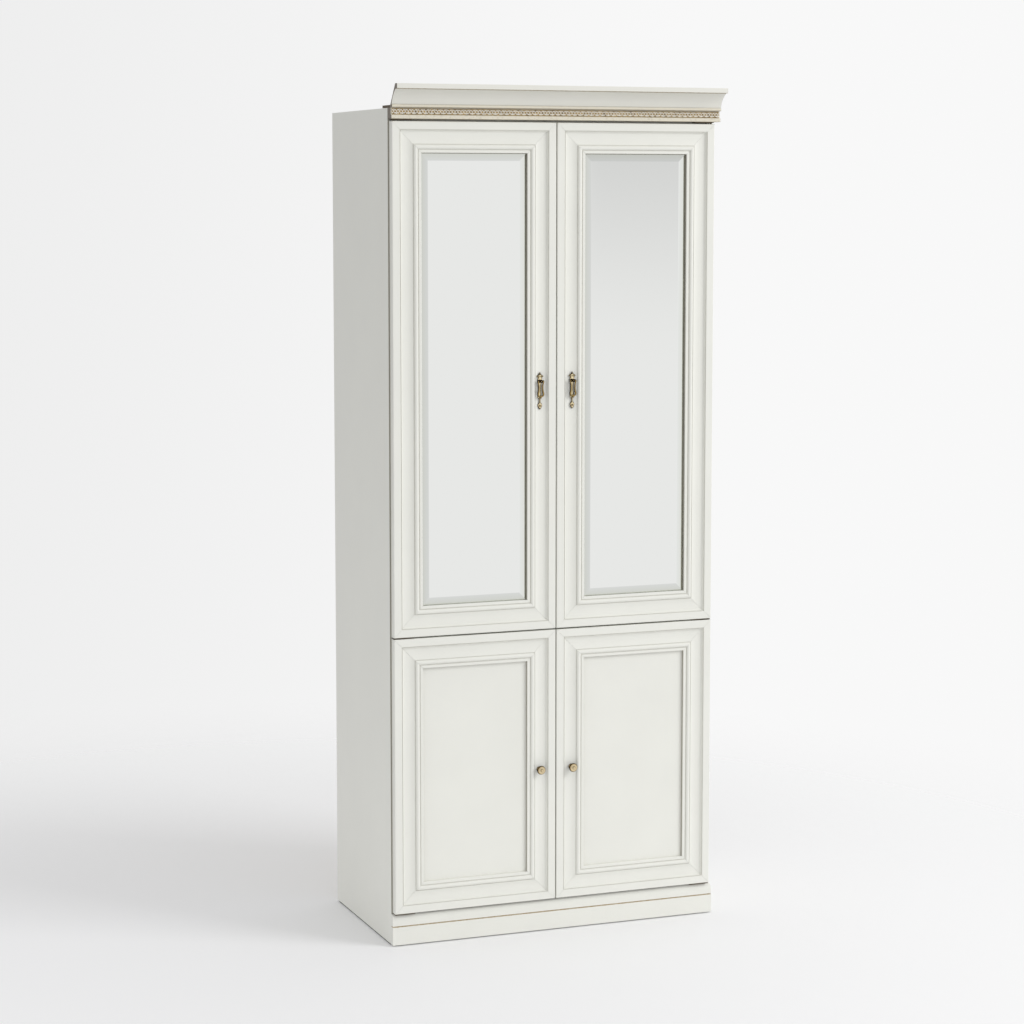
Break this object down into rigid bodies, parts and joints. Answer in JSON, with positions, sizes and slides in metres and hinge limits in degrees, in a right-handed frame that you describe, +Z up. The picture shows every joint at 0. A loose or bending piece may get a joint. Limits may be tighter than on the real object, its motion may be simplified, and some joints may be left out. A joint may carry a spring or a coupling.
{
  "type": "armoire",
  "caption": "Tall two-section armoire: bevelled-mirror doors over panelled doors, grooved plinth, crown cornice with a carved gilt strip, hanging rail and shelves.",
  "frame": {"origin": "on the floor, at the middle of the base of the object's bounding box", "axes": "+X to the right seen from the front, +Y towards the back, +Z up; the doors face -Y"},
  "size_m": [0.9284, 0.554, 2.26],
  "materials": {
    "lacquered_wood": "satin off-white lacquer",
    "bare_board": "dark unlacquered board",
    "gilding": "carved and gilded, patinated in the hollows",
    "antique_brass": "cast, antiqued and polished on the high places",
    "steel": "zinc plated",
    "chrome": "polished",
    "mirror_glass": "silvered plate with a wide bevel",
    "hardboard": "painted on its face",
    "floor_plastic": "moulded"
  },
  "bodies": {
    "carcass": {"back_panel": "hardboard", "bottom_hinge_leaf_left": "steel", "bottom_hinge_leaf_right": "steel", "bottom_panel": "lacquered_wood", "carved_strip": "gilding", "cornice_base": "bare_board", "cornice_crown": "lacquered_wood", "floor_strip_left": "floor_plastic", "floor_strip_right": "floor_plastic", "frieze_board": "lacquered_wood", "hanging_rail": "chrome", "hat_shelf": "lacquered_wood", "lower_shelf": "lacquered_wood", "middle_hinge_leaf_left": "steel", "middle_hinge_leaf_right": "steel", "middle_panel": "lacquered_wood", "plinth_board": "lacquered_wood", "rail_socket_left": "chrome", "rail_socket_right": "chrome", "side_panel_left": "lacquered_wood", "side_panel_right": "lacquered_wood", "top_hinge_leaf_left": "steel", "top_hinge_leaf_right": "steel", "top_panel": "lacquered_wood"},
    "upper_left_door": {"upper_left_door_bottom_leaf": "steel", "upper_left_door_bottom_rail": "lacquered_wood", "upper_left_door_handle_plate": "antique_brass", "upper_left_door_hinge_stile": "lacquered_wood", "upper_left_door_meeting_stile": "lacquered_wood", "upper_left_door_mirror": "mirror_glass", "upper_left_door_mirror_back": "hardboard", "upper_left_door_top_leaf": "steel", "upper_left_door_top_rail": "lacquered_wood"},
    "upper_right_door": {"upper_right_door_bottom_leaf": "steel", "upper_right_door_bottom_rail": "lacquered_wood", "upper_right_door_handle_plate": "antique_brass", "upper_right_door_hinge_stile": "lacquered_wood", "upper_right_door_meeting_stile": "lacquered_wood", "upper_right_door_mirror": "mirror_glass", "upper_right_door_mirror_back": "hardboard", "upper_right_door_top_leaf": "steel", "upper_right_door_top_rail": "lacquered_wood"},
    "lower_left_door": {"lower_left_door_bottom_leaf": "steel", "lower_left_door_bottom_rail": "lacquered_wood", "lower_left_door_hinge_stile": "lacquered_wood", "lower_left_door_knob": "antique_brass", "lower_left_door_meeting_stile": "lacquered_wood", "lower_left_door_panel": "lacquered_wood", "lower_left_door_top_leaf": "steel", "lower_left_door_top_rail": "lacquered_wood"},
    "lower_right_door": {"lower_right_door_bottom_leaf": "steel", "lower_right_door_bottom_rail": "lacquered_wood", "lower_right_door_hinge_stile": "lacquered_wood", "lower_right_door_knob": "antique_brass", "lower_right_door_meeting_stile": "lacquered_wood", "lower_right_door_panel": "lacquered_wood", "lower_right_door_top_leaf": "steel", "lower_right_door_top_rail": "lacquered_wood"},
    "left_bail": {"upper_left_door_handle_bail": "antique_brass"},
    "right_bail": {"upper_right_door_handle_bail": "antique_brass"}
  },
  "joints": [
    {"name": "upper_left_door_hinge", "type": "hinge", "parent": "carcass", "child": "upper_left_door", "pos_m": [-0.45415, -0.212, 0.8273], "axis": [0, 0, -1], "range_deg": [0, 110]},
    {"name": "upper_right_door_hinge", "type": "hinge", "parent": "carcass", "child": "upper_right_door", "pos_m": [0.44485, -0.212, 0.8273], "axis": [0, 0, 1], "range_deg": [0, 110]},
    {"name": "lower_left_door_hinge", "type": "hinge", "parent": "carcass", "child": "lower_left_door", "pos_m": [-0.45415, -0.212, 0.0895], "axis": [0, 0, -1], "range_deg": [0, 110]},
    {"name": "lower_right_door_hinge", "type": "hinge", "parent": "carcass", "child": "lower_right_door", "pos_m": [0.44485, -0.212, 0.0895], "axis": [0, 0, 1], "range_deg": [0, 110]},
    {"name": "left_bail_swing", "type": "hinge", "parent": "upper_left_door", "child": "left_bail", "pos_m": [-0.05065, -0.2249, 1.489], "axis": [-1, 0, 0], "range_deg": [-3, 85]},
    {"name": "right_bail_swing", "type": "hinge", "parent": "upper_right_door", "child": "right_bail", "pos_m": [0.04135, -0.2249, 1.489], "axis": [-1, 0, 0], "range_deg": [-3, 85]}
  ]
}
